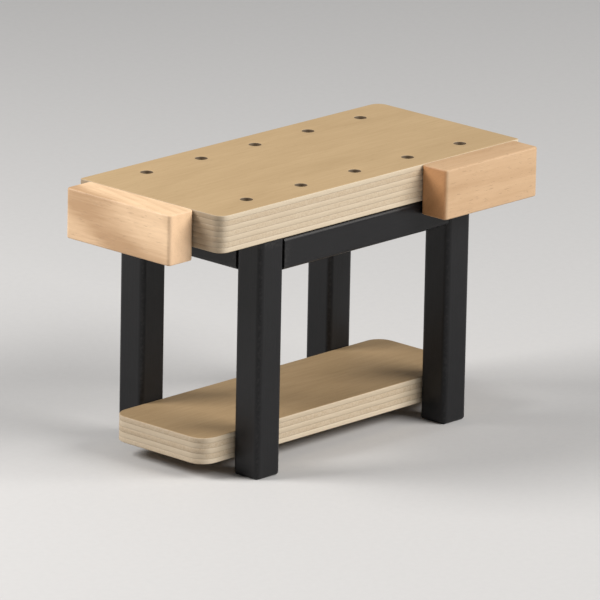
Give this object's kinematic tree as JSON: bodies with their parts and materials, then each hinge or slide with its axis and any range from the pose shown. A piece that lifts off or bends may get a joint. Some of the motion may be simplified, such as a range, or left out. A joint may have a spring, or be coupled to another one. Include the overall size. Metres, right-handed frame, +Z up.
{
  "type": "toy workbench",
  "caption": "Toy workbench with a dog-holed plywood top, solid jaw blocks on its left end and right front, square painted legs and rails, and a low shelf.",
  "frame": {"origin": "centre of the bench's footprint box, on the ground under the legs", "axes": "+X along the bench towards the end without a jaw block, +Y towards the back, away from the front jaw block, +Z up"},
  "size_m": [0.1024, 0.05, 0.0616],
  "materials": {
    "birch_plywood": "sanded birch plywood, clear matt oil",
    "solid_beech": "sanded solid beech, clear matt oil",
    "painted_wood": "satin charcoal-black paint on wood",
    "dowel_beech": "plain turned beech dowel, glued in",
    "zinc_screw": "bright zinc-plated steel"
  },
  "bodies": {
    "root": {"bench_top": "birch_plywood", "shelf": "birch_plywood", "end_jaw": "solid_beech", "front_jaw": "solid_beech", "leg_front_left": "painted_wood", "leg_front_right": "painted_wood", "leg_rear_left": "painted_wood", "leg_rear_right": "painted_wood", "front_rail": "painted_wood", "rear_rail": "painted_wood", "left_rail": "painted_wood", "right_rail": "painted_wood", "front_rail_dowels": "dowel_beech", "rear_rail_dowels": "dowel_beech", "left_rail_dowels": "dowel_beech", "right_rail_dowels": "dowel_beech", "shelf_dowels": "dowel_beech", "end_jaw_dowels": "dowel_beech", "front_jaw_dowels": "dowel_beech", "top_screws": "zinc_screw"}
  },
  "joints": []
}
